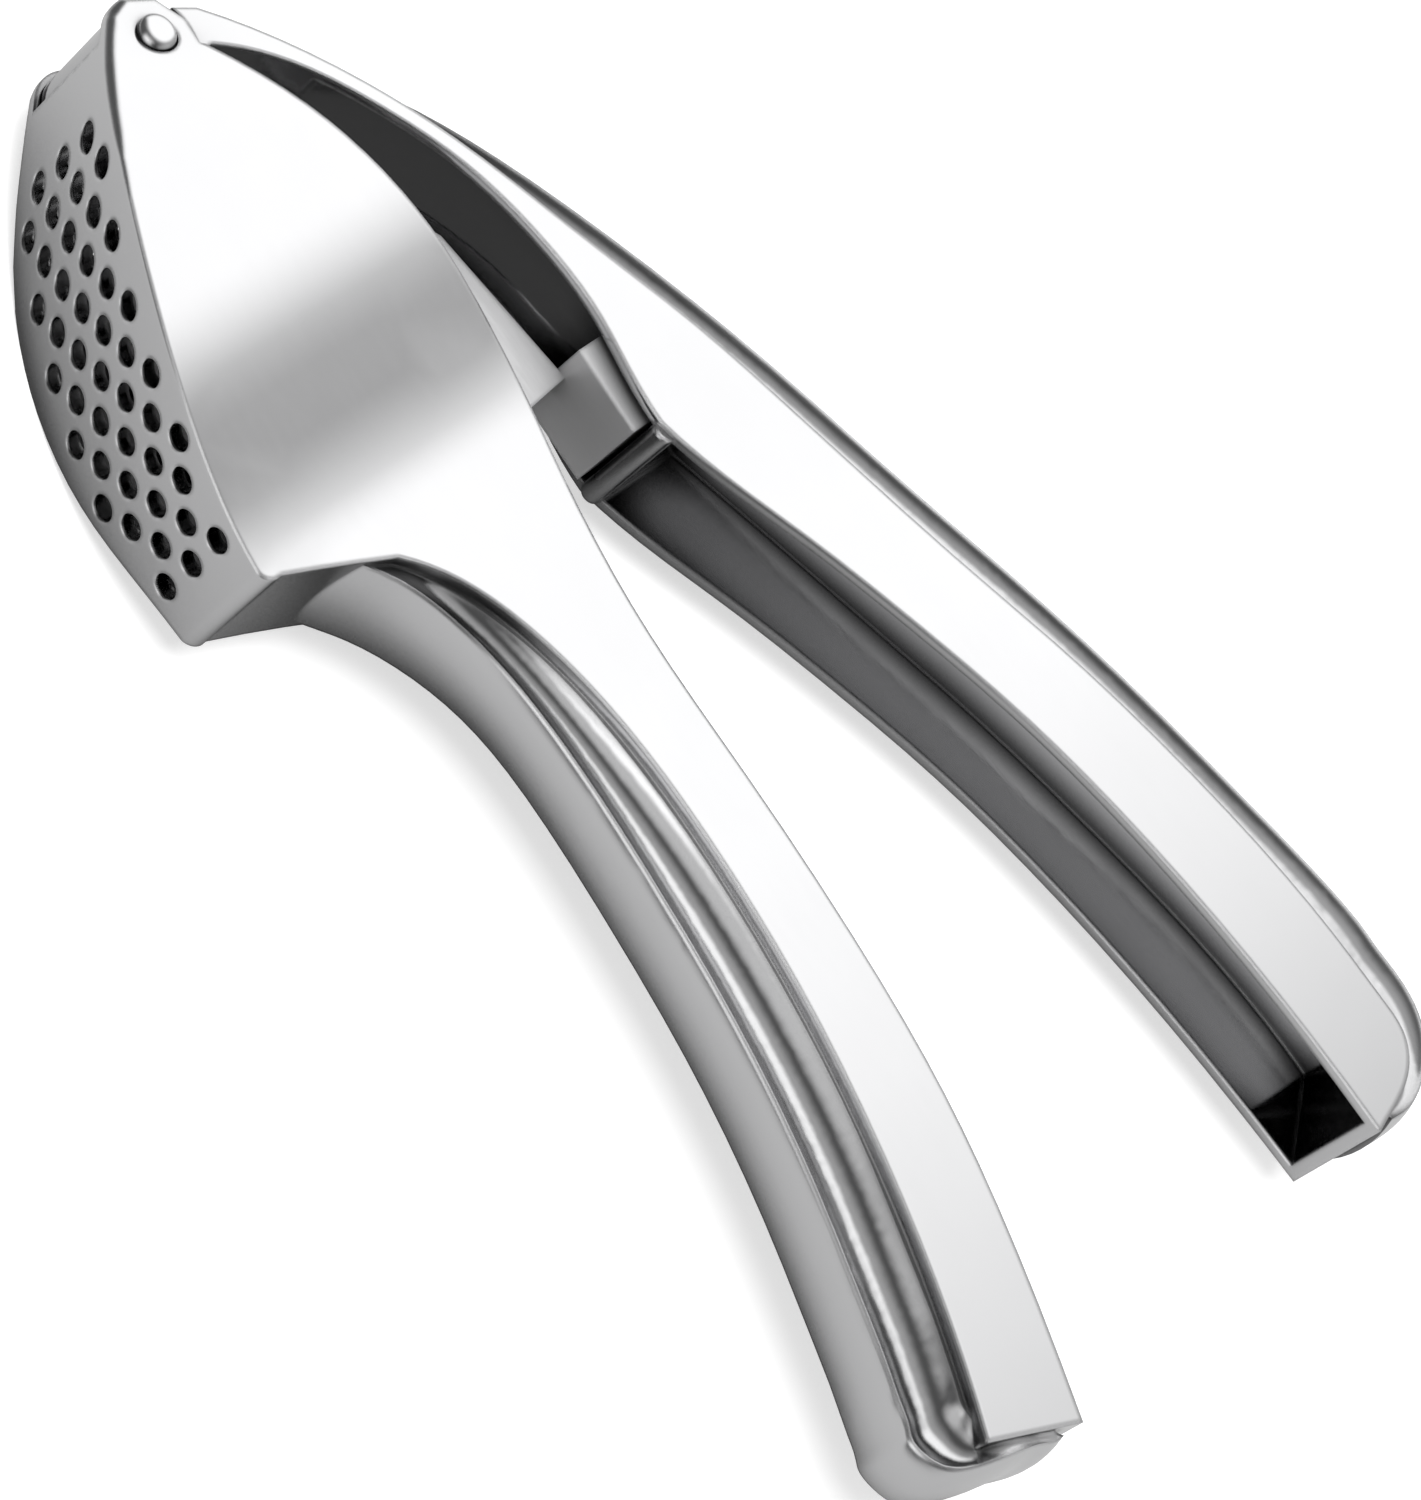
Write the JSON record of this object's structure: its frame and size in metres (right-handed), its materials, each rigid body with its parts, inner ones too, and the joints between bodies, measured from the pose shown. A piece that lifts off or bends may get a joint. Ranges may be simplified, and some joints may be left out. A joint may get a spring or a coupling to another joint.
{
  "type": "garlic press",
  "caption": "Hand-held garlic press: a hopper arm with a curved perforated bottom and a channel lever with a plunger, on one hinge pin.",
  "frame": {"origin": "centre of the bounding box in X and Y, on the surface that the press lies on", "axes": "+X from the hinge to the handle ends, +Y towards the lever, +Z along the hinge pin"},
  "size_m": [0.182, 0.105, 0.0263],
  "materials": {
    "lower_casting": "mirror-polished zinc alloy casting",
    "upper_casting": "mirror-polished zinc alloy casting",
    "plunger_casting": "satin casting, as cast and tumbled",
    "pin_steel": "polished steel pin"
  },
  "bodies": {
    "hopper_arm": {"lower_arm": "lower_casting", "hinge_pin": "pin_steel"},
    "lever": {"upper_arm": "upper_casting", "plunger": "plunger_casting", "plunger_pin": "pin_steel"}
  },
  "joints": [
    {"name": "lever_hinge", "type": "hinge", "parent": "hopper_arm", "child": "lever", "pos_m": [-0.08558, -0.02035, 0.01314], "axis": [0, 0, 1], "range_deg": [-13.5, 95]}
  ]
}
